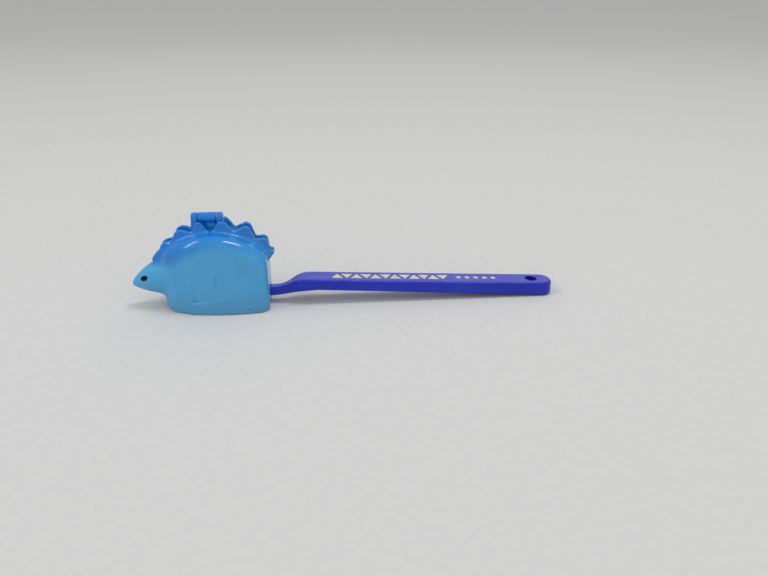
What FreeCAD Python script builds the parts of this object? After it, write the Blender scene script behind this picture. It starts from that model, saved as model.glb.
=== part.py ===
"""A child's manual toothbrush standing in its two-piece hinged head cover.

Millimetres, +Z up from the table, +X from the cover towards the end of the handle, and the
cover's two halves part at Y = 0. Every piece is drawn from the outer face of the cover's
rear wall (X = 0) and is then shifted so that the origin is the middle of the footprint.
"""
import FreeCAD, Part
import math
import os
import Sketcher
from FreeCAD import Placement, Rotation, Vector

# Driving sizes in millimetres: name, number and what it measures.
SIZES = [
    ("cover_length", 41.1, "rear wall to chest"),
    ("cover_half_width", 11.6, "split plane to the widest point of the side"),
    ("cover_height", 31.3, "table to the top of the back"),
    ("shoulder_height", 22.3, "height of the end walls where the back begins"),
    ("side_radius", 70.0, "bulge of the side, seen from above"),
    ("widest_from_rear", 13.6, "rear wall to the widest point"),
    ("front_corner_radius", 8.0, "upright corner at the chest"),
    ("rear_corner_radius", 4.5, "upright corner at the rear wall"),
    ("crown_radius", 4.6, "rounding of the back into the sides"),
    ("cover_wall", 1.5, "wall of the cover"),
    ("split_gap", 0.2, "gap between the closed halves"),
    ("nose_length", 12.5, "chest to the tip of the nose"),
    ("head_root", 4.5, "how far the animal's head reaches into the chest"),
    ("head_half_height", 9.65, "half the head's height where it meets the chest"),
    ("head_half_width", 7.0, "half the head's width where it meets the chest"),
    ("nose_height", 9.8, "table to the tip of the nose"),
    ("head_lift", 3.9, "rise of the head's middle from the nose to the chest"),
    ("plate_height", 4.5, "tallest back plate above the back"),
    ("least_plate_height", 0.6, "first and last back plate above the back"),
    ("plate_overhang", 2.5, "last back plate beyond the rear wall"),
    ("plate_thickness", 1.7, "thickness of a back plate"),
    ("plate_root", 3.0, "depth of a plate's foot below the back"),
    ("plate_web", 1.3, "valley between two plates above the back"),
    ("plate_row_start", 28.4, "middle of the back to the front of the row, along the arch"),
    ("plate_pitch", 6.9, "plate to plate on average, along the arch"),
    ("plate_row_radius", 130.0, "bend of a row of plates, seen from above"),
    ("hinge_rise", 5.0, "top of the back to the hinge axis"),
    ("knuckle_radius", 1.95, "outer radius of the hinge knuckles"),
    ("knuckle_length", 6.8, "middle knuckle along the hinge"),
    ("ear_length", 2.6, "each outer knuckle along the hinge"),
    ("knuckle_gap", 0.2, "play between knuckles along the hinge"),
    ("web_setback", 0.9, "front of the middle knuckle to the web that carries it"),
    ("cheek_gap", 0.75, "top of the back to the underside of an ear's cheek"),
    ("hinge_from_rear", 22.1, "rear wall to the middle of the hinge"),
    ("knuckle_plate_gap", 0.35, "knuckle to the row of plates beside it"),
    ("pin_radius", 0.8, "hinge pin"),
    ("pin_running_fit", 0.05, "play of the pin in the moving knuckle"),
    ("pin_set_fit", 0.01, "play of the pin in the fixed ears"),
    ("peg_radius", 0.8, "closing peg of the near half"),
    ("peg_length", 1.6, "closing peg beyond the split"),
    ("peg_fit", 0.25, "play of a peg in its socket"),
    ("boss_radius", 1.7, "boss behind a peg or round a socket"),
    ("rear_boss_height", 12.5, "table to the rear peg"),
    ("tail_tip_from_rear", 31.0, "rear wall to the tip of the tail in relief"),
    ("tail_height", 17.5, "table to the root of the tail"),
    ("tail_tip_length", 1.7, "length of the tail's rounded tip"),
    ("tail_relief", 0.55, "how proud the tail stands at its tip"),
    ("tail_skin", 0.15, "how proud the tail stands at the cover's widest point"),
    ("leg_relief", 0.5, "how proud the leg folds stand"),
    ("leg_fold_width", 1.1, "width of a leg fold"),
    ("leg_fold_bow", 0.9, "how far a leg fold bows from a straight line"),
    ("leg_fold_lean", 1.0, "how far a leg fold's top lies in front of its foot"),
    ("leg_foot_height", 5.7, "table to the foot of a leg fold"),
    ("fore_leg_from_rear", 29.4, "rear wall to the foot of the front leg fold"),
    ("fore_leg_height", 8.0, "front leg fold from foot to top"),
    ("hind_leg_from_rear", 19.4, "rear wall to the foot of the rear leg fold"),
    ("hind_leg_height", 11.3, "rear leg fold from foot to top"),
    ("floor_gap", 1.7, "cover floor to the underside of the brush head"),
    ("neck_gap", 0.3, "play of the neck in the rear wall"),
    ("head_room", 5.5, "chest to the tip of the brush head"),
    ("neck_thickness", 3.8, "thickness of the neck and of the brush head"),
    ("neck_width", 4.2, "width of the neck"),
    ("handle_reach", 114.9, "rear wall to the end of the handle"),
    ("handle_width", 9.6, "width of the handle"),
    ("handle_thickness", 4.65, "thickness of the handle at its shoulder"),
    ("end_thickness", 5.65, "thickness of the handle at its end"),
    ("shoulder_rise", 2.85, "rise of the underside from the neck to the handle"),
    ("neck_reach_inside", 0.6, "rear wall inwards to where the underside begins to rise"),
    ("neck_reach_outside", 2.4, "rear wall outwards to where the top begins to rise"),
    ("shoulder_reach", 19.4, "rear wall to the underside's shoulder"),
    ("top_shoulder_reach", 14.8, "rear wall to the top face's shoulder"),
    ("flare_start", 3.4, "rear wall to where the neck begins to widen"),
    ("flare_end", 17.4, "rear wall to where the handle has its full width"),
    ("waist_length", 6.0, "length over which the brush head narrows to the neck"),
    ("head_corner_radius", 4.1, "corner of the brush head, seen from above"),
    ("handle_edge_radius", 0.8, "rounding along the handle's edges"),
    ("end_radius", 4.2, "corner of the handle's end, seen from above"),
    ("table_gap", 0.05, "handle's lowest edge above the table"),
    ("hang_hole_radius", 2.5, "hanging hole"),
    ("hang_hole_from_end", 8.4, "end of the handle to the hanging hole"),
    ("tuft_radius", 0.8, "tuft in its hole"),
    ("tuft_flare", 0.2, "how much wider a tuft is at its tip"),
    ("tuft_length", 10.0, "free length of a tuft"),
    ("tuft_depth", 3.0, "depth of a tuft hole"),
    ("tuft_pitch", 2.3, "tuft to tuft along the head"),
    ("row_pitch", 2.35, "tuft row to tuft row"),
    ("head_margin", 2.2, "end of the brush head to the nearest tuft hole's middle"),
    ("side_margin", 2.15, "side of the brush head to the outer row's middle"),
    ("anchor_thickness", 0.25, "anchor plate"),
    ("anchor_height", 1.3, "anchor plate"),
    ("anchor_bite", 0.3, "how far an anchor plate bites into the wall of its hole"),
    ("anchor_lift", 0.5, "bottom of the hole to the anchor plate"),
    ("foil_thickness", 0.05, "hot-stamped foil"),
    ("foil_radius", 2.7, "middle of a foil triangle to its points"),
    ("foil_pitch", 3.9, "foil triangle to foil triangle"),
    ("foil_start", 12.0, "shoulder to the middle of the first foil triangle"),
    ("lozenge_radius", 1.3, "middle of a foil lozenge to its points"),
    ("lozenge_pitch", 3.6, "foil lozenge to foil lozenge"),
    ("lozenge_gap", 6.6, "last foil triangle to the first lozenge"),
]

# Counts, and shares that shape the head, the plates, the tail, the bosses and the roundings.
MIDDLE_TUFTS = 10
FOIL_TRIANGLES = 12
FOIL_LOZENGES = 5
HEAD_STATIONS = (0.004, 0.03, 0.1, 0.25, 0.5, 0.75, 1.0)
HEAD_FULLNESS = 0.62
PLATE_WIDTHS = (0.9, 0.95, 1.2, 1.0, 1.25, 1.2, 0.95, 0.55)
PLATE_HEIGHTS = (0.25, 0.45, 0.75, 1.0, 1.0, 1.0, 0.75, 0.35)
PLATE_LEAN = 0.46
PLATE_TIP_SHARE = 0.1
VALLEY_SHARE = 0.3
TAIL_TIP_LOW = 0.15
TAIL_TIP_HIGH = 0.27
TAIL_SAG = 0.4
BOSS_SETBACK = 0.6
CHEST_SHARE = 0.95
CROWN_SHARE = 0.9
CORNER_SHARE = 0.95

doc = FreeCAD.newDocument("toothbrush")
sheet = doc.addObject("Spreadsheet::Sheet", "sizes")
for row, (alias, number, meaning) in enumerate(SIZES, start=1):
    sheet.set(f"A{row}", meaning)
    sheet.set(f"B{row}", str(number))
    sheet.setAlias(f"B{row}", alias)
doc.recompute()


class Size:
    """A size as a number, with the expression that works it out from the sheet."""

    def __init__(self, number, text):
        self.number = number
        self.text = text

    def __add__(self, other):
        other = as_size(other)
        return Size(self.number + other.number, f"({self.text} + {other.text})")

    def __sub__(self, other):
        other = as_size(other)
        return Size(self.number - other.number, f"({self.text} - {other.text})")

    def __mul__(self, other):
        other = as_size(other)
        return Size(self.number * other.number, f"({self.text} * {other.text})")

    def __truediv__(self, other):
        other = as_size(other)
        return Size(self.number / other.number, f"({self.text} / {other.text})")

    def __neg__(self):
        return Size(-self.number, f"(-1 * {self.text})")


def least(first, second):
    """The smaller of two sizes, for a rounding that its wall limits."""
    return Size(min(first.number, second.number), f"min({first.text}; {second.text})")


def as_size(value):
    """Return value as a Size, so that plain counts and shares can join a formula."""
    if isinstance(value, Size):
        return value
    return Size(float(value), repr(float(value)))


def size(alias):
    """Return a driving size from the sheet."""
    return Size(float(sheet.get(alias)), f"sizes.{alias}")


def bind(item, **properties):
    """Bind each named property of a document object to its size."""
    for name, value in properties.items():
        item.setExpression(name, as_size(value).text)


def place(item, x=0, y=0, z=0, turn=Rotation()):
    """Put a document object at a place that follows the sheet."""
    spot = [as_size(value) for value in (x, y, z)]
    item.Placement = Placement(Vector(*[value.number for value in spot]), turn)
    for axis, value in zip("xyz", spot):
        item.setExpression(f"Placement.Base.{axis}", value.text)
    return item


ALONG_X = Rotation(Vector(0, 1, 0), 90)
TOWARDS_NEAR_SIDE = Rotation(Vector(1, 0, 0), 90)


def block(name, corner, length, width, height):
    """A box from its lowest corner."""
    item = doc.addObject("Part::Box", name)
    bind(item, Length=length, Width=width, Height=height)
    return place(item, *corner)


def rod(name, foot, radius, length, turn=Rotation()):
    """A round rod that starts at foot, upright unless turned."""
    item = doc.addObject("Part::Cylinder", name)
    bind(item, Radius=radius, Height=length)
    return place(item, *foot, turn=turn)


def joined(name, *pieces):
    item = doc.addObject("Part::MultiFuse", name)
    item.Shapes = list(pieces)
    return item


def shared(name, *pieces):
    item = doc.addObject("Part::MultiCommon", name)
    item.Shapes = list(pieces)
    return item


def cut(name, base, tool):
    item = doc.addObject("Part::Cut", name)
    item.Base = base
    item.Tool = tool
    return item


def mirrored(name, source):
    """The same form on the other side of the split plane."""
    item = doc.addObject("Part::Mirroring", name)
    item.Source = source
    item.Base = Vector(0, 0, 0)
    item.Normal = Vector(0, 1, 0)
    return item


def rounded(name, base, choose, radius):
    """Round the edges of base that choose accepts."""
    doc.recompute()
    item = doc.addObject("Part::Fillet", name)
    item.Base = base
    edges = enumerate(base.Shape.Edges, start=1)
    item.Edges = [(index, radius.number, radius.number) for index, edge in edges if choose(edge)]
    return item


def middle_of(edge):
    """The point half way along an edge."""
    return edge.valueAt((edge.FirstParameter + edge.LastParameter) / 2)


def is_upright(edge):
    ends = [vertex.Point for vertex in edge.Vertexes]
    return len(ends) == 2 and Vector(ends[0].x, ends[0].y, 0).isEqual(Vector(ends[1].x, ends[1].y, 0), 1e-6)


def bend(start, end):
    """Middle and radius of an S of two equal arcs that leave start and reach end level."""
    run = end[0] - start[0]
    rise = end[1] - start[1]
    middle = (start[0] + run / 2, start[1] + rise / 2)
    if rise.number < 0:
        rise = -rise
    return middle, (run * run + rise * rise) / (rise * 4)


LINE = None
LEFT = 1
RIGHT = -1


def draw(sketch, steps):
    """Draw a closed outline of (point, turn, radius) steps; turn says how the way on curves.

    Each corner is pinned to the sheet, and so is each arc's radius.
    """
    points = [tuple(as_size(value) for value in step[0]) for step in steps]
    pieces = []
    for index, (_, turn, radius) in enumerate(steps):
        start = Vector(*[value.number for value in points[index]], 0)
        end = Vector(*[value.number for value in points[(index + 1) % len(points)]], 0)
        if turn is LINE:
            pieces.append((sketch.addGeometry(Part.LineSegment(start, end)), 1, 2, None))
            continue
        chord = end - start
        square = Vector(-chord.y, chord.x, 0).normalize() * turn
        reach = math.sqrt(max(radius.number ** 2 - (chord.Length / 2) ** 2, 0.0))
        centre = start + chord / 2 + square * reach
        circle = Part.Circle(centre, Vector(0, 0, 1), radius.number)
        first, last = (start, end) if turn == LEFT else (end, start)
        angles = [math.atan2(point.y - centre.y, point.x - centre.x) for point in (first, last)]
        geometry = sketch.addGeometry(Part.ArcOfCircle(circle, *angles))
        pieces.append((geometry, 1, 2, radius) if turn == LEFT else (geometry, 2, 1, radius))
    for index, (geometry, first, last, radius) in enumerate(pieces):
        following = pieces[(index + 1) % len(pieces)]
        sketch.addConstraint(Sketcher.Constraint("Coincident", geometry, last, following[0], following[1]))
        for kind, axis, value in zip(("DistanceX", "DistanceY"), (-2, -1), points[index]):
            if abs(value.number) < 1e-9:
                sketch.addConstraint(Sketcher.Constraint("PointOnObject", geometry, first, axis))
                continue
            pin = sketch.addConstraint(Sketcher.Constraint(kind, geometry, first, value.number))
            sketch.setExpression(f"Constraints[{pin}]", value.text)
        if radius is not None:
            pin = sketch.addConstraint(Sketcher.Constraint("Radius", geometry, radius.number))
            sketch.setExpression(f"Constraints[{pin}]", radius.text)


def circle(sketch, x, y, radius):
    """Draw a circle whose middle and radius follow the sheet."""
    spot = [as_size(x), as_size(y)]
    ring = Part.Circle(Vector(spot[0].number, spot[1].number, 0), Vector(0, 0, 1), radius.number)
    geometry = sketch.addGeometry(ring)
    for kind, axis, value in zip(("DistanceX", "DistanceY"), (-2, -1), spot):
        if abs(value.number) < 1e-9:
            sketch.addConstraint(Sketcher.Constraint("PointOnObject", geometry, 3, axis))
            continue
        pin = sketch.addConstraint(Sketcher.Constraint(kind, geometry, 3, value.number))
        sketch.setExpression(f"Constraints[{pin}]", value.text)
    pin = sketch.addConstraint(Sketcher.Constraint("Radius", geometry, radius.number))
    sketch.setExpression(f"Constraints[{pin}]", radius.text)


# Sizes that follow from the driving ones.
half_gap = size("split_gap") / 2
wall = size("cover_wall")
cover_length = size("cover_length")
half_width = size("cover_half_width")
cover_height = size("cover_height")
back_rise = cover_height - size("shoulder_height")
half_length = cover_length / 2
dome_radius = (half_length * half_length + back_rise * back_rise) / (back_rise * 2)
dome_height = cover_height - dome_radius
hinge_height = cover_height + size("hinge_rise")
hinge_middle = -size("hinge_from_rear")
hinge_half = size("knuckle_length") / 2
hinge_reach = hinge_half + size("knuckle_gap") + size("ear_length")
brush_floor = wall + size("floor_gap")
neck_top = brush_floor + size("neck_thickness")
head_tip = size("head_room") - cover_length
handle_end = size("handle_reach")
shoulder_top = brush_floor + size("shoulder_rise") + size("handle_thickness")
end_top = size("table_gap") + size("end_thickness")
origin_shift = (cover_length + size("nose_length") - size("handle_reach")) / 2

# How far a cutting shape reaches past what it cuts.
OVERREACH = 2.0


def front_corner():
    """Radius of the upright corner at the chest, within the share of the chest it may take."""
    lead = (cover_length - size("widest_from_rear")).number
    bulge = size("side_radius").number
    chest = half_width.number - half_gap.number - bulge + math.sqrt(bulge ** 2 - lead ** 2)
    turn = math.pi / 2 - math.asin(lead / bulge)
    room = chest * CHEST_SHARE / math.tan(turn / 2)
    return least(size("front_corner_radius"), as_size(room))


def half_form(name, inset, split):
    """The near half of the cover's body, shrunk all round by inset, up to the plane Y = split.

    An upright box gives the end walls and floor, a lying cylinder on a block the arched back
    and an upright cylinder the bulging side; their corners are then rounded.
    """
    side_radius = size("side_radius")
    ends = block(
        name + "_ends",
        (inset - cover_length, inset - half_width, inset),
        cover_length - inset * 2,
        half_width - inset + split,
        cover_height,
    )
    arch = rod(
        name + "_arch",
        (-half_length, OVERREACH, dome_height),
        dome_radius - inset,
        half_width + 2 * OVERREACH,
        TOWARDS_NEAR_SIDE,
    )
    below = block(
        name + "_below",
        (inset - half_length - dome_radius, -half_width - OVERREACH, dome_height - dome_radius),
        (dome_radius - inset) * 2,
        half_width + 2 * OVERREACH,
        dome_radius,
    )
    back = joined(name + "_back", arch, below)
    side = rod(
        name + "_side",
        (-size("widest_from_rear"), side_radius - half_width, -OVERREACH),
        side_radius - inset,
        cover_height + 2 * OVERREACH,
    )
    raw = shared(name + "_raw", ends, back, side)
    on_split = split.number - 1e-4

    def at_front(edge):
        point = middle_of(edge)
        return is_upright(edge) and point.y < on_split and point.x < -half_length.number

    def at_rear(edge):
        point = middle_of(edge)
        return is_upright(edge) and point.y < on_split and point.x > -half_length.number

    def at_crown(edge):
        point = middle_of(edge)
        return point.y < on_split and point.z > size("shoulder_height").number - inset.number - 1e-3

    corner = front_corner()
    front = rounded(name + "_front", raw, at_front, corner - inset)
    rear = rounded(name + "_rear", front, at_rear, size("rear_corner_radius") - inset)
    return rounded(name, rear, at_crown, least(size("crown_radius"), corner * CROWN_SHARE) - inset)


def head_loft(name, inset, stations):
    """The animal's head as a loft of upright ellipses from the nose into the chest."""
    reach = size("nose_length") + size("head_root")
    sections = []
    for index, share in enumerate(stations):
        ring = doc.addObject("Part::Ellipse", f"{name}_ring{index}")
        fullness = round(share ** HEAD_FULLNESS, 4)
        bind(
            ring,
            MajorRadius=size("head_half_height") * fullness - inset,
            MinorRadius=size("head_half_width") * fullness - inset,
        )
        along = reach * share - cover_length - size("nose_length")
        height = size("nose_height") + size("head_lift") * fullness
        place(ring, along, 0, height, Rotation(Vector(0, 1, 0), -90))
        sections.append(ring)
    loft = doc.addObject("Part::Loft", name)
    loft.Sections = sections
    loft.Solid = True
    return loft


def plate_row():
    """The near row of back plates: a saw-toothed slab that follows the arched back.

    The plates are widest and tallest over the middle of the back. Seen from above the row is an
    arc that passes the hinge and closes up to the split towards the nape and the rear.
    """
    radius = dome_radius.number
    middle = Vector(-half_length.number, 0, dome_height.number)
    least_height = size("least_plate_height").number
    swell = size("plate_height").number - least_height

    def on_back(angle, reach):
        return middle + Vector(math.sin(angle), 0, math.cos(angle)) * reach

    def before_rear(angle, reach, limit):
        """Shorten reach so that the point stays in front of X = limit."""
        lean = math.sin(angle)
        room = half_length.number + limit
        return on_back(angle, min(reach, room / lean) if lean > 0 else reach)

    def valley(angle, web):
        behind = size("plate_overhang").number * VALLEY_SHARE if web > 0 else -wall.number / 2
        return before_rear(angle, radius + web, behind)

    first = -size("plate_row_start").number / radius
    points = [valley(first, 0)]
    front = first
    for index, (width, height) in enumerate(zip(PLATE_WIDTHS, PLATE_HEIGHTS), start=1):
        width = width * size("plate_pitch").number / radius
        tip = front + PLATE_LEAN * width
        for angle in (tip - PLATE_TIP_SHARE * width, tip + PLATE_TIP_SHARE * width):
            reach = radius + least_height + swell * height
            points.append(before_rear(angle, reach, size("plate_overhang").number))
        front = front + width
        at_hinge_or_end = index in (len(PLATE_WIDTHS) // 2, len(PLATE_WIDTHS))
        points.append(valley(front, 0 if at_hinge_or_end else size("plate_web").number))
    root = size("plate_root").number
    foot_rear = points[-1] - (on_back(front, 1) - middle) * root
    outline = Part.makePolygon(points + [foot_rear])
    foot_front = on_back(first, radius - root)
    foot = Part.Arc(foot_rear, on_back((first + front) / 2, radius - root), foot_front).toShape()
    face = Part.Face(Part.Wire(outline.Edges + [foot, Part.makeLine(foot_front, points[0])]))
    teeth = doc.addObject("Part::Feature", "plate_teeth")
    teeth.Shape = face.extrude(Vector(0, -half_width.number, 0))
    teeth.Placement = Placement(Vector(0, -half_gap.number, 0), Rotation())

    bend_radius = size("plate_row_radius")
    past_hinge = hinge_reach.number + abs((hinge_middle + half_length).number)
    lead = bend_radius.number - math.sqrt(bend_radius.number ** 2 - past_hinge ** 2)
    near_face = size("knuckle_radius") + size("knuckle_plate_gap") + lead
    foot_spot = (-half_length, bend_radius - near_face, 0)
    height = hinge_height + OVERREACH
    outer = rod("plate_row_outer", foot_spot, bend_radius + size("plate_thickness"), height)
    inner = rod("plate_row_inner", foot_spot, bend_radius, height)
    return cut("plate_row", shared("plate_slab", teeth, outer), inner)


def raised_side(name, proud, forward):
    """The body's side grown by proud and slid forward, which bounds what stands in relief."""
    side_radius = size("side_radius")
    return rod(
        name,
        (-size("widest_from_rear") - forward, side_radius - half_width, 0),
        side_radius + proud,
        cover_height,
    )


def side_prism(name, edges):
    """An outline seen from the side, drawn through the near side wall."""
    prism = doc.addObject("Part::Feature", name)
    prism.Shape = Part.Face(Part.Wire(edges)).extrude(Vector(0, -half_width.number - OVERREACH, 0))
    prism.Placement = Placement(Vector(0, -half_width.number / 2, 0), Rotation())
    return prism


def tail_relief():
    """A tail that lies along the foot of the side and fades out towards the rear."""
    tip = -size("tail_tip_from_rear").number
    height = size("tail_height").number
    root = -size("rear_corner_radius").number / 2
    blunt = size("tail_tip_length").number
    tip_low = Vector(tip, 0, TAIL_TIP_LOW * height)
    tip_high = Vector(tip + blunt, 0, TAIL_TIP_HIGH * height)
    tip_round = (tip_low * 2 + tip_high * 2 + Vector(tip, 0, tip_high.z)) / 5
    sag = Vector((tip + root) / 2, 0, TAIL_SAG * height)
    edges = [
        Part.makeLine(Vector(tip, 0, 0), tip_low),
        Part.Arc(tip_low, tip_round, tip_high).toShape(),
        Part.Arc(tip_high, sag, Vector(root, 0, height)).toShape(),
        Part.makeLine(Vector(root, 0, height), Vector(root, 0, 0)),
        Part.makeLine(Vector(root, 0, 0), Vector(tip, 0, 0)),
    ]
    lead = size("tail_tip_from_rear") - size("widest_from_rear")
    slide = size("tail_relief") * size("side_radius") / lead
    bound = raised_side("tail_side", size("tail_skin"), slide)
    return shared("tail_relief", side_prism("tail_outline", edges), bound)


def leg_fold(name, bow):
    """A raised fold on the side that follows the edge of a leg, bowed to the rear or the front."""
    foot = Vector(-size(name + "_from_rear").number, 0, size("leg_foot_height").number)
    rise = Vector(-size("leg_fold_lean").number, 0, size(name + "_height").number)
    half = Vector(size("leg_fold_width").number / 2, 0, 0)
    crest = foot + rise / 2 + Vector(bow.number, 0, 0)
    rear_line = Part.Arc(foot + half, crest + half, foot + rise + half).toShape()
    front_line = Part.Arc(foot - half, crest - half, foot + rise - half).toShape()
    top = Part.makeLine(foot + rise + half, foot + rise - half)
    bottom = Part.makeLine(foot - half, foot + half)
    outline = side_prism(name + "_outline", [rear_line, top, front_line, bottom])
    return shared(name, outline, raised_side(name + "_side", size("leg_relief"), as_size(0)))


def peg_spots():
    """Where the closing pegs stand: low at the chest and half way up the rear wall."""
    boss = size("boss_radius")
    front = (wall + boss * BOSS_SETBACK - cover_length, wall + boss * BOSS_SETBACK)
    rear = (-wall - boss * BOSS_SETBACK, size("rear_boss_height"))
    return {"front": front, "rear": rear}


def cover_hollow():
    """The room inside the near half, from the nose to the rear wall."""
    cavity = half_form("cavity", wall, as_size(OVERREACH))
    return joined("hollow", cavity, head_loft("head_hollow", wall, HEAD_STATIONS[3:]))


def cover_side(body, hollow):
    """The near half as far as it is like the far half: body, head, plates and relief, hollowed."""
    head = head_loft("head_form", as_size(0), HEAD_STATIONS)
    near_room = block(
        "near_room",
        (-cover_length - size("nose_length") - OVERREACH, -half_width - OVERREACH, 0),
        cover_length + size("nose_length") + 2 * OVERREACH,
        half_width + OVERREACH - half_gap,
        cover_height,
    )
    near_head = shared("near_head", head, near_room)
    legs = [leg_fold("fore_leg", size("leg_fold_bow")), leg_fold("hind_leg", -size("leg_fold_bow"))]
    outside = joined("near_outside", body, near_head, plate_row(), tail_relief(), *legs)
    return cut("near_side", outside, hollow)


def boss_rods(name, body):
    """Bosses from the side wall to the split plane, kept inside the body."""
    bosses = []
    for spot, (x, z) in peg_spots().items():
        long_rod = rod(
            f"{name}_{spot}_rod",
            (x, -half_gap, z),
            size("boss_radius"),
            half_width,
            TOWARDS_NEAR_SIDE,
        )
        bosses.append(shared(f"{name}_{spot}", long_rod, body))
    return bosses


def neck_opening():
    """The hole in the rear wall that the neck passes through."""
    play = size("neck_gap")
    hole = block(
        "neck_hole_block",
        (-wall - OVERREACH, -size("neck_width") / 2 - play, brush_floor - play),
        wall + 2 * OVERREACH,
        size("neck_width") + play * 2,
        size("neck_thickness") + play * 2,
    )

    def runs_along_x(edge):
        ends = [vertex.Point for vertex in edge.Vertexes]
        return abs(ends[0].x - ends[1].x) > wall.number

    return rounded("neck_hole", hole, runs_along_x, size("handle_edge_radius") + play)


def hinge_web(name, start, length, setback, hollow):
    """The upright on the near side that carries a knuckle, grown out of the arched back."""
    foot = size("shoulder_height")
    face = size("knuckle_radius") - setback
    upright = block(
        name + "_block",
        (start, -face, foot),
        length,
        face - half_gap,
        hinge_height - foot,
    )
    return cut(name, upright, hollow)


def cover_left_half(side, hollow, opening, body):
    """The near half: it swings, and carries the middle knuckle and the closing pegs."""
    start = hinge_middle - hinge_half
    length = size("knuckle_length")
    knuckle = rod("near_knuckle", (start, 0, hinge_height), size("knuckle_radius"), length, ALONG_X)
    web = hinge_web("near_web", start, length, size("web_setback"), hollow)
    pegs = []
    for spot, (x, z) in peg_spots().items():
        foot = (x, -half_gap - size("peg_length"), z)
        upright = Rotation(Vector(1, 0, 0), -90)
        reach = size("peg_length") * 2 + half_gap
        pegs.append(rod(f"{spot}_peg", foot, size("peg_radius"), reach, upright))
    solid = joined("near_solid", side, web, knuckle, *boss_rods("near_boss", body), *pegs)
    bore = rod(
        "near_bore",
        (start - OVERREACH, 0, hinge_height),
        size("pin_radius") + size("pin_running_fit"),
        length + 2 * OVERREACH,
        ALONG_X,
    )
    return cut("cover_left_half", solid, joined("near_cuts", opening, bore))


def cover_right_half(side, hollow, opening, body):
    """The far half: it stays with the brush, and carries the two ears and the sockets."""
    ears = []
    ear = size("ear_length")
    for name, start in (
        ("front_ear", hinge_middle - hinge_reach),
        ("rear_ear", hinge_middle + hinge_reach - ear),
    ):
        ears.append(rod(name, (start, 0, hinge_height), size("knuckle_radius"), ear, ALONG_X))
        web = hinge_web(name + "_web", start, ear, as_size(0), hollow)
        ears.append(mirrored(name + "_web_far", web))
        cheek_foot = cover_height + size("cheek_gap")
        ears.append(
            block(
                name + "_cheek",
                (start, -size("knuckle_radius"), cheek_foot),
                ear,
                size("knuckle_radius") * 2,
                hinge_height - cheek_foot,
            )
        )
    bosses = []
    for boss in boss_rods("far_boss", body):
        bosses.append(mirrored(boss.Name + "_far", boss))
    solid = joined("far_solid", mirrored("far_side", side), *ears, *bosses)
    sockets = []
    for spot, (x, z) in peg_spots().items():
        foot = (x, size("peg_length") + size("peg_fit"), z)
        radius = size("peg_radius") + size("peg_fit")
        depth = size("peg_length") + size("peg_fit") + OVERREACH
        sockets.append(rod(f"{spot}_socket", foot, radius, depth, TOWARDS_NEAR_SIDE))
    bore = rod(
        "far_bore",
        (hinge_middle - hinge_reach - OVERREACH, 0, hinge_height),
        size("pin_radius") + size("pin_set_fit"),
        (hinge_reach + OVERREACH) * 2,
        ALONG_X,
    )
    return cut("cover_right_half", solid, joined("far_cuts", opening, bore, *sockets))


def hinge_pin():
    """A plain steel pin through all three knuckles, in its final place."""
    foot = (origin_shift + hinge_middle - hinge_reach, 0, hinge_height)
    return rod("hinge_pin", foot, size("pin_radius"), hinge_reach * 2, ALONG_X)


def tuft_spots():
    """Middles of the tuft holes: a long middle row and a staggered row on each side."""
    spots = {}
    pitch = size("tuft_pitch")
    first = head_tip + size("head_margin")
    for index in range(MIDDLE_TUFTS):
        spots[f"tuft_middle_{index + 1:02d}"] = (first + pitch * index, as_size(0))
    for side, offset in (("left", -size("row_pitch")), ("right", size("row_pitch"))):
        for index in range(MIDDLE_TUFTS - 1):
            spots[f"tuft_{side}_{index + 1:02d}"] = (first + pitch * (index + 0.5), offset)
    return spots


def side_profile():
    """The brush seen from the side: level head and neck, an S up to the handle, a long slope."""
    under_start = (-size("neck_reach_inside"), brush_floor)
    under_end = (size("shoulder_reach"), brush_floor + size("shoulder_rise"))
    top_start = (size("neck_reach_outside"), neck_top)
    top_end = (size("top_shoulder_reach"), shoulder_top)
    under_middle, under_radius = bend(under_start, under_end)
    top_middle, top_radius = bend(top_start, top_end)
    return [
        ((head_tip, brush_floor), LINE, None),
        (under_start, LEFT, under_radius),
        (under_middle, RIGHT, under_radius),
        (under_end, LINE, None),
        ((handle_end, size("table_gap")), LINE, None),
        ((handle_end, end_top), LINE, None),
        (top_end, LEFT, top_radius),
        (top_middle, RIGHT, top_radius),
        (top_start, LINE, None),
        ((head_tip, neck_top), LINE, None),
    ]


def plan_outline():
    """The brush seen from above: rounded head, narrow neck, flare and a rounded handle end."""
    head_half = size("row_pitch") + size("side_margin")
    neck_half = size("neck_width") / 2
    handle_half = size("handle_width") / 2
    head_corner = least(size("head_corner_radius"), head_half * CORNER_SHARE)
    head_end = head_tip + size("head_margin") * 2 + size("tuft_pitch") * (MIDDLE_TUFTS - 1)
    waist_start = (head_end - size("waist_length") / 3, -head_half)
    waist_end = (waist_start[0] + size("waist_length"), -neck_half)
    flare_start = (size("flare_start"), -neck_half)
    flare_end = (size("flare_end"), -handle_half)
    waist_middle, waist_radius = bend(waist_start, waist_end)
    flare_middle, flare_radius = bend(flare_start, flare_end)
    end_radius = least(size("end_radius"), handle_half * CORNER_SHARE)
    near = [
        ((head_tip, head_corner - head_half), LEFT, head_corner),
        ((head_tip + head_corner, -head_half), LINE, None),
        (waist_start, LEFT, waist_radius),
        (waist_middle, RIGHT, waist_radius),
        (waist_end, LINE, None),
        (flare_start, RIGHT, flare_radius),
        (flare_middle, LEFT, flare_radius),
        (flare_end, LINE, None),
        ((handle_end - end_radius, -handle_half), LEFT, end_radius),
        ((handle_end, end_radius - handle_half), LINE, None),
    ]
    far = []
    for index in reversed(range(len(near))):
        x, y = near[index][0]
        way_back = near[index - 1][1:] if index > 0 else (LINE, None)
        far.append(((x, -y), *way_back))
    return near + far


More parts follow.
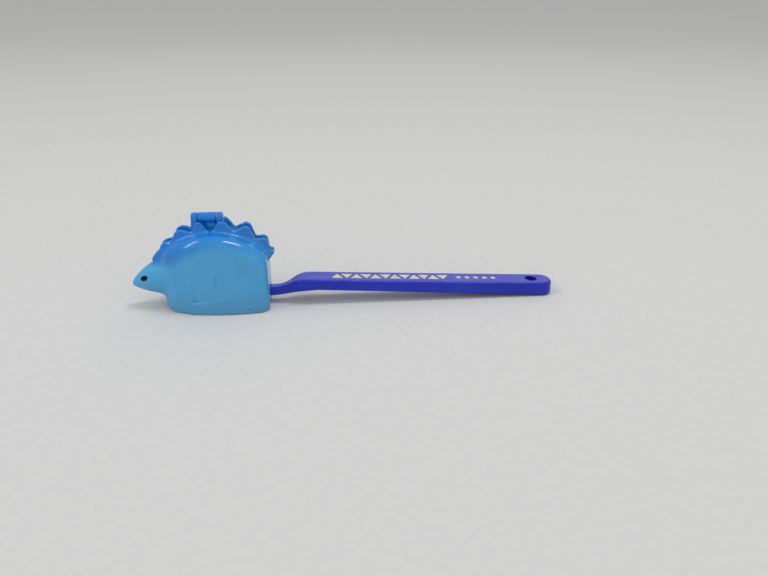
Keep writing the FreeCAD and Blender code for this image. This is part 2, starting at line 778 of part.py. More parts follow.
def brush_body():
    """The moulded brush: handle, neck and head with its tuft holes and the hanging hole."""
    body = doc.addObject("PartDesign::Body", "brush_blank")
    planes = {plane.Role: plane for plane in body.Origin.OriginFeatures}

    def sketch_on(name, role, lift=None):
        sketch = body.newObject("Sketcher::SketchObject", name)
        sketch.AttachmentSupport = [(planes[role], "")]
        sketch.MapMode = "FlatFace"
        if lift is not None:
            sketch.AttachmentOffset = Placement(Vector(0, 0, lift.number), Rotation())
            sketch.setExpression("AttachmentOffset.Base.z", lift.text)
        return sketch

    profile = sketch_on("side_profile", "XZ_Plane")
    draw(profile, side_profile())
    slab = body.newObject("PartDesign::Pad", "side_slab")
    slab.Profile = profile
    slab.Midplane = True
    bind(slab, Length=size("handle_width") * 2)
    doc.recompute()

    trim_lift = shoulder_top + OVERREACH
    trim = sketch_on("plan_outline", "XY_Plane", trim_lift)
    draw(trim, plan_outline())
    reach_x = (head_tip - OVERREACH, handle_end + OVERREACH)
    reach_y = (-size("handle_width") * 1.5, size("handle_width") * 1.5)
    draw(trim, [((reach_x[i], reach_y[j]), LINE, None) for i, j in ((0, 0), (1, 0), (1, 1), (0, 1))])
    slab_volume = slab.Shape.Volume
    trimmed = body.newObject("PartDesign::Pocket", "plan_trim")
    trimmed.Profile = trim
    trimmed.Type = "ThroughAll"
    doc.recompute()
    if trimmed.Shape.Volume > 0.8 * slab_volume:
        raise ValueError("the plan outline did not trim the brush")

    soft = body.newObject("PartDesign::Fillet", "soft_edges")
    edges = enumerate(trimmed.Shape.Edges, start=1)
    soft.Base = (trimmed, [f"Edge{index}" for index, edge in edges if not is_upright(edge)])
    bind(soft, Radius=size("handle_edge_radius"))
    doc.recompute()

    hang = sketch_on("hang_hole_circle", "XY_Plane", trim_lift)
    circle(hang, handle_end - size("hang_hole_from_end"), 0, size("hang_hole_radius"))
    hang_hole = body.newObject("PartDesign::Pocket", "hang_hole")
    hang_hole.Profile = hang
    hang_hole.Type = "ThroughAll"

    holes = sketch_on("tuft_hole_circles", "XY_Plane", neck_top)
    for x, y in tuft_spots().values():
        circle(holes, x, y, size("tuft_radius"))
    tuft_holes = body.newObject("PartDesign::Pocket", "tuft_holes")
    tuft_holes.Profile = holes
    bind(tuft_holes, Length=size("tuft_depth"))
    doc.recompute()
    if not soft.Shape.Volume > hang_hole.Shape.Volume > tuft_holes.Shape.Volume:
        raise ValueError("a hole of the brush was not cut")
    body.Tip = tuft_holes
    return body


def anchors_and_tufts():
    """One anchor plate and one tuft of filaments, folded round it, for each hole."""
    radius = size("tuft_radius")
    hole_floor = neck_top - size("tuft_depth")
    anchor_length = (radius + size("anchor_bite")) * 2
    plates = []
    tufts = []
    for name, (x, y) in tuft_spots().items():
        plate = block(
            name + "_anchor",
            (x - anchor_length / 2, y - size("anchor_thickness") / 2, hole_floor + size("anchor_lift")),
            anchor_length,
            size("anchor_thickness"),
            size("anchor_height"),
        )
        root = rod(name + "_root", (x, y, hole_floor), radius, size("tuft_depth"))
        brush = doc.addObject("Part::Cone", name + "_free")
        bind(brush, Radius1=radius, Radius2=radius + size("tuft_flare"), Height=size("tuft_length"))
        place(brush, x, y, neck_top)
        tufts.append(cut(name, joined(name + "_bundle", root, brush), plate))
        plates.append(plate)
    slots = doc.addObject("Part::Compound", "anchor_slots")
    slots.Links = plates
    anchors = doc.addObject("Part::Compound", "tuft_anchors")
    anchors.Links = plates
    return slots, anchors, tufts


def handle_foil():
    """Hot-stamped foil on the sloping top face: a zigzag of triangles, then a row of lozenges."""
    marks = []
    along = size("foil_start")
    aside = size("foil_radius") / 4
    for index in range(FOIL_TRIANGLES):
        side = -1 if index % 2 == 0 else 1
        mark = foil_mark(f"foil_triangle_{index + 1:02d}", 3, size("foil_radius"))
        marks.append(place(mark, along, aside * side, 0, Rotation(Vector(0, 0, 1), -90 * side)))
        along = along + size("foil_pitch")
    along = along - size("foil_pitch") + size("lozenge_gap")
    for index in range(FOIL_LOZENGES):
        mark = foil_mark(f"foil_lozenge_{index + 1:02d}", 4, size("lozenge_radius"))
        marks.append(place(mark, along))
        along = along + size("lozenge_pitch")
    foil = doc.addObject("Part::Compound", "handle_foil")
    foil.Links = marks
    drop = (shoulder_top - end_top) / (handle_end - size("top_shoulder_reach"))
    slope = Rotation(Vector(0, 1, 0), math.degrees(math.atan(drop.number)))
    place(foil, origin_shift + size("top_shoulder_reach"), 0, shoulder_top, slope)
    foil.setExpression("Placement.Rotation.Angle", f"atan({drop.text})")
    return foil


def foil_mark(name, corners, radius):
    """One flat mark of foil with equal sides."""
    mark = doc.addObject("Part::Prism", name)
    mark.Polygon = corners
    bind(mark, Circumradius=radius, Height=size("foil_thickness"))
    return mark


def build():
    """Make every sub-part and return the finished ones."""
    near_body = half_form("near_body", as_size(0), -half_gap)
    hollow = cover_hollow()
    near_side = cover_side(near_body, hollow)
    opening = neck_opening()
    slots, anchors, tufts = anchors_and_tufts()
    brush = cut("brush_handle", brush_body(), slots)
    shells = [
        cover_left_half(near_side, hollow, opening, near_body),
        cover_right_half(near_side, hollow, opening, near_body),
    ]
    parts = [brush, anchors, *tufts, *shells]
    for part in parts:
        place(part, origin_shift)
    return [*parts, hinge_pin(), handle_foil()]


def write(parts):
    """Check every object, then write each sub-part to a file named after its label."""
    doc.recompute()
    for item in doc.Objects:
        if "Invalid" in item.State or "Error" in item.State:
            raise ValueError(f"{item.Label} failed: {item.State}")
    for part in parts:
        if part.Shape.isNull() or not part.Shape.isValid():
            raise ValueError(f"{part.Label} has no valid shape")
    os.makedirs("parts", exist_ok=True)
    for part in parts:
        part.Shape.exportStep(f"parts/{part.Label}.step")
        print(f"{part.Label}: {len(part.Shape.Solids)} solids, {part.Shape.Volume:.1f} mm3")


write(build())
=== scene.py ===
# %% [markdown]
# # A child's toothbrush in its hinged cover
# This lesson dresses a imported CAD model. The model gives every piece its place and size, in metres,
# with +X towards the end of the handle and +Z up. Blender adds what CAD leaves out: soft moulded
# edges, airbrushed colour, single bristles, worn foil and the light of a small studio.

# %% Load the frame
import math
import random

import bpy
from mathutils import Matrix, Vector


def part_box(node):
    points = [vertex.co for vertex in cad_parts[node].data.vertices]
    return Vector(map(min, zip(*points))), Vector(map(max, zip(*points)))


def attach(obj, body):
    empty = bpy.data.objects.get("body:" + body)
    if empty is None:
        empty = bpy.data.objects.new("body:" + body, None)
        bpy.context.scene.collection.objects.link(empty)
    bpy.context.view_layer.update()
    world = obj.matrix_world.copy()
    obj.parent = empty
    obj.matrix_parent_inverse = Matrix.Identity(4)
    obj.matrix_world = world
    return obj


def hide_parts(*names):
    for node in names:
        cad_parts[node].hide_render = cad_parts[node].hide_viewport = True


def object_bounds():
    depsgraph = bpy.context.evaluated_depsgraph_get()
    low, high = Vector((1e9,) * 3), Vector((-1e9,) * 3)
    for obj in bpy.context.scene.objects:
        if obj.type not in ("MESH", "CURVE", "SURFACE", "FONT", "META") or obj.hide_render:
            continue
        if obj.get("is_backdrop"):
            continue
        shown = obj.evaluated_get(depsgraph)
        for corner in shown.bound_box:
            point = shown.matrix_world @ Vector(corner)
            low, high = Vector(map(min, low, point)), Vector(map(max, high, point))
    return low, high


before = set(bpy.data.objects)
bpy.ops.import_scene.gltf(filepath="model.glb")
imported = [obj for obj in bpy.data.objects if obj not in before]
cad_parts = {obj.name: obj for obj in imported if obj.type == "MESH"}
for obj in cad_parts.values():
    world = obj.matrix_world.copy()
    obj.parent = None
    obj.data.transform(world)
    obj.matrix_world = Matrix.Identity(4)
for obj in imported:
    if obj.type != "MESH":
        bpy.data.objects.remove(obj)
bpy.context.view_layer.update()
MM = 0.001

# %% [markdown]
# ## Hands: select, apply, copy
# An operator acts on everything that is selected, so each helper first selects what it works on.
# A CAD mesh arrives as loose triangles. A copy of it is merged by distance before it is shaped,
# or every triangle would move on its own.

# %% Helpers for objects
MERGE_DISTANCE = 0.001 * MM


def select_only(*pieces):
    """Select these pieces and nothing else; the first one is the active one."""
    bpy.ops.object.select_all(action="DESELECT")
    for piece in pieces:
        piece.select_set(True)
    bpy.context.view_layer.objects.active = pieces[0]


def finish_with(piece, kind, **settings):
    """Add one modifier to a piece and apply it."""
    select_only(piece)
    modifier = piece.modifiers.new(kind.lower(), kind)
    for name, value in settings.items():
        setattr(modifier, name, value)
    bpy.ops.object.modifier_apply(modifier=modifier.name)


def settle(piece, name):
    """Put a piece's place into its mesh and name it."""
    select_only(piece)
    bpy.ops.object.transform_apply(location=True, rotation=True, scale=True)
    piece.name = name
    piece.data.name = name
    return piece


def merged_copy(node, name):
    """A copy of a CAD node with its triangles joined up."""
    piece = bpy.data.objects.new(name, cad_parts[node].data.copy())
    piece.data.name = name
    bpy.context.scene.collection.objects.link(piece)
    select_only(piece)
    bpy.ops.object.mode_set(mode="EDIT")
    bpy.ops.mesh.select_all(action="SELECT")
    bpy.ops.mesh.remove_doubles(threshold=MERGE_DISTANCE)
    bpy.ops.object.mode_set(mode="OBJECT")
    return piece


def dress(piece, material):
    """Give a piece one material all over."""
    piece.data.materials.clear()
    piece.data.materials.append(material)


# %% [markdown]
# ## Colours and nodes
# Colours are picked as sRGB hex values, the way a paint chart gives them, and Blender's shaders
# want linear light, so one function converts them. Another adds a node, sets it and links it, and
# a few short ones after it add the kinds of node that every material here is built from.


# %% Helpers for colours and single nodes
def linear(code):
    """Turn an sRGB hex colour into linear RGBA."""
    shares = [int(code[i:i + 2], 16) / 255 for i in (1, 3, 5)]
    light = [s / 12.92 if s <= 0.04045 else ((s + 0.055) / 1.055) ** 2.4 for s in shares]
    return (*light, 1.0)


def set_inputs(tree, node, inputs):
    """Set a node's inputs; a socket among the values is linked, anything else is written in."""
    for name, value in inputs.items():
        if isinstance(value, bpy.types.NodeSocket):
            tree.links.new(value, node.inputs[name])
        else:
            node.inputs[name].default_value = value


def add_node(tree, kind, inputs=None, **settings):
    """Add a node with its settings and inputs."""
    node = tree.nodes.new(kind)
    for name, value in settings.items():
        setattr(node, name, value)
    set_inputs(tree, node, inputs or {})
    return node


def new_material(name):
    """An empty node material with its shader; returns the material, its tree and the shader."""
    material = bpy.data.materials.new(name)
    material.use_nodes = True
    tree = material.node_tree
    return material, tree, tree.nodes["Principled BSDF"]


def object_place(tree):
    """Where a point of the surface is, in metres."""
    return add_node(tree, "ShaderNodeTexCoord").outputs["Object"]


# %% Helpers that return one socket
UNIT = (0.0, 1.0)


def calculate(tree, operation, *values):
    """One step of arithmetic."""
    inputs = dict(enumerate(values))
    return add_node(tree, "ShaderNodeMath", inputs, operation=operation).outputs[0]


def map_range(tree, value, from_range=UNIT, to_range=UNIT, **settings):
    """Stretch one range of values onto another."""
    inputs = {"Value": value}
    inputs["From Min"], inputs["From Max"] = from_range
    inputs["To Min"], inputs["To Max"] = to_range
    return add_node(tree, "ShaderNodeMapRange", inputs, **settings).outputs[0]


def noise(tree, place, width_mm, detail):
    """Soft blotches of about this width."""
    inputs = {"Vector": place, "Scale": 1 / (width_mm * MM), "Detail": detail}
    return add_node(tree, "ShaderNodeTexNoise", inputs).outputs["Fac"]


def stretched(tree, place, scale):
    """A place whose axes are scaled, so that a pattern on it grows long where the scale is small."""
    return add_node(tree, "ShaderNodeMapping", {"Vector": place, "Scale": scale}).outputs[0]


def colour_ramp(tree, value, *stops):
    """Colours along a value, from pairs of a place and an sRGB hex colour."""
    node = add_node(tree, "ShaderNodeValToRGB", {"Fac": value})
    elements = node.color_ramp.elements
    while len(elements) < len(stops):
        elements.new(1.0)
    for element, (place, code) in zip(elements, stops):
        element.position = place
        element.color = linear(code)
    return node.outputs["Color"]


def mix_colours(tree, share, first, second):
    """From the first colour to the second; inputs 6 and 7 and output 2 are the node's colours."""
    inputs = {"Factor": share, 6: first, 7: second}
    return add_node(tree, "ShaderNodeMix", inputs, data_type="RGBA").outputs[2]


def bump(tree, height, strength, depth):
    """A surface that rises and falls with a pattern."""
    inputs = {"Height": height, "Strength": strength, "Distance": depth}
    return add_node(tree, "ShaderNodeBump", inputs).outputs[0]


# %% [markdown]
# ## The cover's plastic
# The cover is moulded in a sky blue vinyl with a clear gloss, and its back was airbrushed in a
# deeper blue: strongest on the plates, fading out a few millimetres down the sides. The arch of the
# back is part of a circle, so the distance from a point near that circle's middle says how much
# spray a place got. The point lies a little to the rear, because the gun was held from the front.
# The head was masked off, so the spray also fades out below the height of the nape. A slow noise
# makes the edge of the spray drift, and a fine one makes its droplets. The cover was shut while it
# was sprayed, so places that face inwards, under the arch, keep the plain vinyl. Towards the base
# the colour is mixed with a darker grey, which is painted shade for the lower sides.

# %% Airbrushed vinyl
BACK_MIDDLE_X = -51.2 * MM
BACK_MIDDLE_Z = 3.3 * MM
BACK_RADIUS = 27.96 * MM
SHELL_MIDDLE = 27.2 * MM
SPRAY_MIDDLE_X = -48.0 * MM
SPRAY_MIDDLE_Z = 3.3 * MM
SPRAY_STARTS = 22.5 * MM
SPRAY_IS_FULL = 32.0 * MM
NAPE_LOW = 16.5 * MM
NAPE_HIGH = 22.5 * MM
SPRAY_DRIFT = 0.22
DROPLET_DRIFT = 0.05
DRIFT_WIDTH_MM = 9.0
DROPLET_WIDTH_MM = 0.35
PEEL_WIDTH_MM = 1.6
PEEL_STRENGTH = 0.12
PEEL_DEPTH = 0.05 * MM
# Painted shade: the height above the base at which the vinyl starts to be mixed towards a darker
# grey, and how strongly.
PAINTED_SHADE_TOP = 10.0 * MM
PAINTED_SHADE_SHARE = 0.45
VINYL_ROUGHNESS = (0.11, 0.2)
PLASTIC_IOR = 1.52


def from_axis(tree, place, middle_x, middle_z):
    """How far a place lies from an axis across the cover, seen from the side."""
    inputs = {"Vector": place, "Location": (-middle_x, 0, -middle_z), "Scale": (1, 0, 1)}
    flat = add_node(tree, "ShaderNodeMapping", inputs).outputs[0]
    length = add_node(tree, "ShaderNodeVectorMath", {0: flat}, operation="LENGTH")
    return length.outputs["Value"]


def is_outside(tree, coordinates):
    """One where a place faces away from the middle of the arch or lies on a plate, else none."""
    place = coordinates.outputs["Object"]
    middle = (BACK_MIDDLE_X, 0, BACK_MIDDLE_Z)
    outwards = add_node(tree, "ShaderNodeVectorMath", {0: place, 1: middle}, operation="SUBTRACT")
    facing = add_node(
        tree,
        "ShaderNodeVectorMath",
        {0: outwards.outputs[0], 1: coordinates.outputs["Normal"]},
        operation="DOT_PRODUCT",
    )
    faces_out = calculate(tree, "GREATER_THAN", facing.outputs["Value"], 0.0)
    height = from_axis(tree, place, BACK_MIDDLE_X, BACK_MIDDLE_Z)
    on_plate = calculate(tree, "GREATER_THAN", height, SHELL_MIDDLE)
    return calculate(tree, "MAXIMUM", faces_out, on_plate)


def airbrushed_vinyl():
    # Gloss vinyl with spray paint: clear narrow highlights, a soft edge between the two blues,
    # and a faint orange peel that breaks up long reflections.
    material, tree, shader = new_material("airbrushed_vinyl")
    coordinates = add_node(tree, "ShaderNodeTexCoord")
    place = coordinates.outputs["Object"]
    level_z = add_node(tree, "ShaderNodeSeparateXYZ", {"Vector": place}).outputs["Z"]
    reach = from_axis(tree, place, SPRAY_MIDDLE_X, SPRAY_MIDDLE_Z)
    sprayed = map_range(tree, reach, (SPRAY_STARTS, SPRAY_IS_FULL))
    above_nape = map_range(tree, level_z, (NAPE_LOW, NAPE_HIGH), interpolation_type="SMOOTHSTEP")
    on_back = calculate(tree, "MULTIPLY", sprayed, above_nape)
    painted = calculate(tree, "MULTIPLY", on_back, is_outside(tree, coordinates))
    drift = noise(tree, place, DRIFT_WIDTH_MM, 2.0)
    droplets = noise(tree, place, DROPLET_WIDTH_MM, 1.0)
    drifted = calculate(tree, "MULTIPLY_ADD", drift, SPRAY_DRIFT, painted)
    speckled = calculate(tree, "MULTIPLY_ADD", droplets, DROPLET_DRIFT, drifted)
    spray = calculate(tree, "SUBTRACT", speckled, (SPRAY_DRIFT + DROPLET_DRIFT) / 2)
    blues = colour_ramp(
        tree, spray, (0.0, "#4399cb"), (0.3, "#2a82c2"), (0.6, "#1272be"), (1.0, "#096fc6")
    )
    # Painted shade: towards the base the colour is mixed with a darker grey, for the shade on the
    # lower sides.
    painted_shade = map_range(tree, level_z, (0.0, PAINTED_SHADE_TOP), (PAINTED_SHADE_SHARE, 0.0))
    finish = {
        "Base Color": mix_colours(tree, painted_shade, blues, linear("#4a7490")),
        "Roughness": map_range(tree, drift, UNIT, VINYL_ROUGHNESS),
        "Normal": bump(tree, noise(tree, place, PEEL_WIDTH_MM, 1.0), PEEL_STRENGTH, PEEL_DEPTH),
        "IOR": PLASTIC_IOR,
    }
    set_inputs(tree, shader, finish)
    return material


cover_vinyl = airbrushed_vinyl()
print("made", cover_vinyl.name)

# %% [markdown]
# ## The brush's plastic
# The handle is injection moulded in a deep royal blue. The mould was polished, so it shines, and
# years of use have left hair-fine scuffs that show as a slightly uneven gloss. The scuffs could be
# drawn one by one; a noise that is stretched along the handle gives the same look at any distance.

# %% Royal blue polypropylene
SCUFF_LENGTH_MM = 7.0
SCUFF_WIDTH_MM = 0.7
SCUFF_STRENGTH = 0.06
SCUFF_DEPTH = 0.03 * MM
SCUFF_RANGE = (0.3, 0.75)
HANDLE_ROUGHNESS = (0.14, 0.3)
HANDLE_SPECULAR = 0.38
CLOUD_WIDTH_MM = 14.0


def royal_blue_polypropylene():
    # Polished moulding: a dark saturated body, a sharp pale reflection on the top face, and a
    # colour that clouds a little along the length.
    material, tree, shader = new_material("royal_blue_polypropylene")
    place = object_place(tree)
    clouds = noise(tree, place, CLOUD_WIDTH_MM, 2.0)
    along = stretched(tree, place, (SCUFF_WIDTH_MM / SCUFF_LENGTH_MM, 1, 1))
    scuffs = noise(tree, along, SCUFF_WIDTH_MM, 3.0)
    finish = {
        "Base Color": colour_ramp(tree, clouds, (0.3, "#0f21a2"), (0.7, "#162aae")),
        "Roughness": map_range(tree, scuffs, SCUFF_RANGE, HANDLE_ROUGHNESS),
        "Normal": bump(tree, scuffs, SCUFF_STRENGTH, SCUFF_DEPTH),
        "Specular IOR Level": HANDLE_SPECULAR,
        "IOR": PLASTIC_IOR,
    }
    set_inputs(tree, shader, finish)
    return material


handle_plastic = royal_blue_polypropylene()
print("made", handle_plastic.name)

# %% [markdown]
# ## Small finishes
# Bristles are drawn nylon, anchors are stamped brass, the hinge pin is drawn steel wire, the eyes
# are a drop of black enamel, and the marks on the handle are hot-stamped foil that has worn thin.
# Each is a short tree: one pattern at its real scale drives colour and gloss.

# %% Nylon, brass, steel, enamel and foil
STREAK_WIDTH_MM = 0.12
STREAK_LENGTH_MM = 4.0
NYLON_GLOW_DEPTH = 0.4 * MM
DRAW_LINE_MM = 0.25
BRUSH_WAVE_MM = 0.9
WEAR_WIDTH_MM = 1.1
PINHOLE_WIDTH_MM = WEAR_WIDTH_MM / 3
PINHOLE_EDGE = (0.33, 0.4)
FOIL_SHINE = 0.35
EVEN = (1, 1, 1)


def patterned(name, width_mm, scale, colours, roughness, finish):
    """A material whose colour and gloss follow one noise; finish sets more of its shader."""
    material, tree, shader = new_material(name)
    pattern = noise(tree, stretched(tree, object_place(tree), scale), width_mm, 2.0)
    dark, light = colours
    looks = {
        "Base Color": colour_ramp(tree, pattern, (0.3, dark), (0.7, light)),
        "Roughness": map_range(tree, pattern, UNIT, roughness),
    }
    set_inputs(tree, shader, looks | finish)
    return material


def drawn_nylon():
    # Translucent filaments: milky white, lighter where light passes through, satin gloss.
    scale = (1, 1, STREAK_WIDTH_MM / STREAK_LENGTH_MM)
    colours = ("#dfe3e4", "#f3f4f1")
    finish = {"IOR": 1.53, "Subsurface Weight": 0.2, "Subsurface Radius": (NYLON_GLOW_DEPTH,) * 3}
    return patterned("drawn_nylon", STREAK_WIDTH_MM, scale, colours, (0.3, 0.45), finish)


def stamped_brass():
    # Yellow metal strip with rolling lines.
    colours = ("#c9a355", "#d9b86e")
    metal = {"Metallic": 1.0}
    return patterned("stamped_brass", DRAW_LINE_MM, (0.1, 1, 1), colours, (0.3, 0.45), metal)


def drawn_steel():
    # Bright wire with draw lines along its length.
    colours = ("#a9adb1", "#c6c9cb")
    metal = {"Metallic": 1.0}
    return patterned("drawn_steel", DRAW_LINE_MM, (0.05, 1, 1), colours, (0.2, 0.38), metal)


def black_enamel():
    # A glossy drop of paint, with the slight waviness of a brushed-on coat.
    colours = ("#050508", "#0c0c12")
    finish = {"IOR": 1.5, "Specular IOR Level": 0.2}
    return patterned("black_enamel", BRUSH_WAVE_MM, EVEN, colours, (0.1, 0.18), finish)


def worn_gold_foil():
    # Pale gold leaf pressed into the plastic: it mirrors the room softly, and the handle's blue
    # shows through in pinholes where it has rubbed off.
    colours = ("#d3c88e", "#e0d8a8")
    material = patterned("worn_gold_foil", WEAR_WIDTH_MM, EVEN, colours, (0.35, 0.5), {})
    tree = material.node_tree
    shader = tree.nodes["Principled BSDF"]
    pinholes = noise(tree, object_place(tree), PINHOLE_WIDTH_MM, 2.0)
    leaf = map_range(tree, pinholes, PINHOLE_EDGE)
    gold = shader.inputs["Base Color"].links[0].from_socket
    finish = {
        "Base Color": mix_colours(tree, leaf, linear("#222f9f"), gold),
        "Metallic": map_range(tree, leaf, UNIT, (0.0, FOIL_SHINE)),
    }
    set_inputs(tree, shader, finish)
    return material


bristle_nylon = drawn_nylon()
anchor_brass = stamped_brass()
pin_steel = drawn_steel()
eye_enamel = black_enamel()
gold_foil = worn_gold_foil()
print("made", [m.name for m in (bristle_nylon, anchor_brass, pin_steel, eye_enamel, gold_foil)])

# %% [markdown]
# ## The cover's two halves
# CAD edges are razor sharp, and moulded vinyl has none. A bevel fails on CAD triangles, which
# meet at every angle. So a copy of each half is rebuilt from small cubes (a voxel remesh), which
# gives an even mesh, and is then smoothed a little, which rounds every edge by a few tenths of a
# millimetre. Some places of the real moulding are rounder than that: the root of the animal's neck,
# the plates and their feet, the edge of the base and the ends of the hinge. The vertices there are
# put in groups and smoothed on. The folds of the legs are kept crisper, so that they show. The
# groups for the neck and the base leave out the rim at the split, so that the halves still meet.

# %% Where the halves are soft
CHEST_X = -71.75 * MM
NECK_REACH = 5.5 * MM
RIM_DEPTH = 1.0 * MM
RIM_KEPT = 0.5
FOOT_REACH = 2.0 * MM
FOOT_MIDDLE = 0.3 * MM
PLATE_FOOT = 0.8 * MM
PLATES_LOW = 16.0 * MM
PLATES_INSIDE = 1.9 * MM
BASE_HEIGHT = 1.0 * MM
LEG_TOP = 15.0 * MM
LEG_INSIDE = 5.0 * MM
LEG_SOFTNESS = 0.3
HINGE_X = -52.75 * MM
HINGE_Z = 36.3 * MM
KNUCKLE_HALF = 3.4 * MM
HINGE_HALF = 6.2 * MM
EAR_REACH = 1.5 * MM
EAR_DROP = 1.5 * MM
SLIT_REACH = 0.9 * MM
SLIT_DROP = 4.0 * MM
SLIT_SOFTNESS = 0.12


def from_back(spot):
    """How far a place lies outside the arch of the back."""
    return math.hypot(spot.x - BACK_MIDDLE_X, spot.z - BACK_MIDDLE_Z) - BACK_RADIUS


def off_rim(spot):
    """None on the rim at the split, full a little way from it."""
    return min(1.0, max(0.0, abs(spot.y) / RIM_DEPTH - RIM_KEPT))


def edge_weight(spot):
    """Soften all edges, the folds of the legs less, the slits between the knuckles least."""
    from_slit = abs(abs(spot.x - HINGE_X) - KNUCKLE_HALF)
    if spot.z > HINGE_Z - SLIT_DROP and from_slit < SLIT_REACH:
        return SLIT_SOFTNESS
    if BASE_HEIGHT < spot.z < LEG_TOP and abs(spot.y) > LEG_INSIDE:
        return LEG_SOFTNESS
    return 1.0


def neck_weight(spot):
    """Strongest where the neck meets the chest, below the plates."""
    away = abs(spot.x - CHEST_X) / NECK_REACH
    if away >= 1 or from_back(spot) > 0:
        return 0.0
    return (1 - away * away) * off_rim(spot) * min(1.0, -from_back(spot) / FOOT_REACH)


def foot_weight(spot):
    """A band along the feet of the plates, away from the hinge."""
    away = abs(from_back(spot) - FOOT_MIDDLE) / FOOT_REACH
    if away >= 1 or spot.z < PLATES_LOW or abs(spot.y) < PLATES_INSIDE:
        return 0.0
    return 1 - away * away


def plate_weight(spot):
    """The plates themselves, away from the hinge."""
    if from_back(spot) < PLATE_FOOT or spot.z < PLATES_LOW or abs(spot.y) < PLATES_INSIDE:
        return 0.0
    return 1.0


def base_weight(spot):
    """The outer edge of the base, which stands a little off the table."""
    if spot.z > BASE_HEIGHT or from_back(spot) > 0:
        return 0.0
    return off_rim(spot) * (1 - spot.z / BASE_HEIGHT)


def ear_weight(spot):
    """The outer ends of the hinge's ears."""
    away = abs(abs(spot.x - HINGE_X) - HINGE_HALF) / EAR_REACH
    if away >= 1 or spot.z < HINGE_Z - EAR_DROP:
        return 0.0
    return 1 - away * away


SOFT_PLACES = (
    ("edges", edge_weight, 5),
    ("neck", neck_weight, 220),
    ("feet", foot_weight, 130),
    ("plates", plate_weight, 6),
    ("base", base_weight, 16),
    ("ears", ear_weight, 30),
)
print("steps of smoothing:", [(label, steps) for label, _, steps in SOFT_PLACES])

# %% Mesh the halves evenly and soften them
VOXEL = 0.28 * MM
SMOOTH_SHARE = 0.5
PIP_X = -38.1 * MM
PIP_Z = 2.7 * MM
PIP_RADIUS = 0.6 * MM


def look_sideways(half, side, x, z):
    """Where a line across the cover, from one side, meets a half, and how the surface faces there."""
    _, spot, normal, _ = half.ray_cast(Vector((x, side, z)), Vector((0, -side, 0)))
    return spot, normal


def add_pip(half, side):
    """The small round pip left by the mould, low at the rear of the side."""
    spot, _ = look_sideways(half, side, PIP_X, PIP_Z)
    bpy.ops.mesh.primitive_uv_sphere_add(segments=24, ring_count=12, radius=PIP_RADIUS, location=spot)
    select_only(half, bpy.context.active_object)
    bpy.ops.object.join()


def group_by(half, name, weigh):
    """A vertex group whose weights come from each vertex's place."""
    group = half.vertex_groups.new(name=name)
    for vertex in half.data.vertices:
        weight = weigh(vertex.co)
        if weight > 0:
            group.add([vertex.index], weight, "REPLACE")
    return group.name


def soft_half(node, name, side):
    half = merged_copy(node, name)
    add_pip(half, side)
    finish_with(half, "REMESH", mode="VOXEL", voxel_size=VOXEL)
    for label, weigh, steps in SOFT_PLACES:
        group = group_by(half, label, weigh)
        finish_with(half, "SMOOTH", factor=SMOOTH_SHARE, iterations=steps, vertex_group=group)
    bpy.ops.object.shade_smooth()
    dress(half, cover_vinyl)
    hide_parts(node)
    print(name, len(half.data.polygons), "faces")
    return half


near_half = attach(soft_half("cover_left_half", "near_cover_half", -1), "swinging_half")
far_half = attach(soft_half("cover_right_half", "far_cover_half", 1), "brush_and_fixed_half")

# %% [markdown]
# ## The eyes
# Each eye is a tilted oval of thick enamel. It could be a mask in the vinyl's material, but paint
# has an edge and a dome of its own. So it is a flat oval drop, half sunk in the head at the place
# that a line across the cover meets, and turned to face as the head does there.

# %% Two enamel eyes
EYE_X = -78.7 * MM
EYE_Z = 13.2 * MM
EYE_LONG = 1.7 * MM
EYE_SHORT = 1.0 * MM
EYE_TILT = math.radians(20)
EYE_DOME = 0.22 * MM


def enamel_eye(half, name, side, body):
    bpy.ops.mesh.primitive_uv_sphere_add(segments=32, ring_count=16, radius=1.0)
    eye = bpy.context.active_object
    eye.scale = (EYE_LONG, EYE_DOME, EYE_SHORT)
    settle(eye, name)
    spot, normal = look_sideways(half, side, EYE_X, EYE_Z)
    facing = Vector((0, side, 0)).rotation_difference(normal).to_matrix().to_4x4()
    eye.data.transform(facing @ Matrix.Rotation(-EYE_TILT, 4, "Y"))
    eye.data.transform(Matrix.Translation(spot))
    bpy.ops.object.shade_smooth()
    dress(eye, eye_enamel)
    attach(eye, body)
    print(name, "at", [round(value / MM, 1) for value in spot])


enamel_eye(near_half, "near_eye", -1, "swinging_half")
enamel_eye(far_half, "far_eye", 1, "brush_and_fixed_half")

# %% [markdown]
# ## The hinge pin
# A plain wire pin, cut to length, with the cut edges broken. The CAD node could stay, but its ends
# are sharp. So the pin starts as a cylinder of the CAD node's own length and radius, which bevels
# cleanly, and its two rims are bevelled.

# %% Steel pin
PIN_EDGE = 0.2 * MM
PIN_SHADING = math.radians(35)


def steel_pin():
    low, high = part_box("hinge_pin")
    middle = (low + high) / 2
    bpy.ops.mesh.primitive_cylinder_add(
        vertices=40,
        radius=(high.z - low.z) / 2,
        depth=high.x - low.x,
        location=middle,
        rotation=(0, math.pi / 2, 0),
    )
    pin = settle(bpy.context.active_object, "steel_hinge_pin")
    finish_with(pin, "BEVEL", width=PIN_EDGE, segments=3, limit_method="ANGLE")
    bpy.ops.object.shade_smooth_by_angle(angle=PIN_SHADING)
    dress(pin, pin_steel)
    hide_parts("hinge_pin")
    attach(pin, "brush_and_fixed_half")
    print("pin length in mm:", round((high.x - low.x) / MM, 2))


steel_pin()

# %% [markdown]
# ## The bristles
# A tuft is a bundle of nylon filaments, folded in half round a metal anchor and punched into its
# hole. Hair particles could grow it, but a part needs real meshes. One filament is modelled: a thin
# six-sided rod whose tip is rounded off. Forty of them, placed like the seeds of a sunflower and
# leaning outwards, make one tuft. Each of the 28 tufts is a copy with its own mesh, turned by
# another angle so that no two look alike.

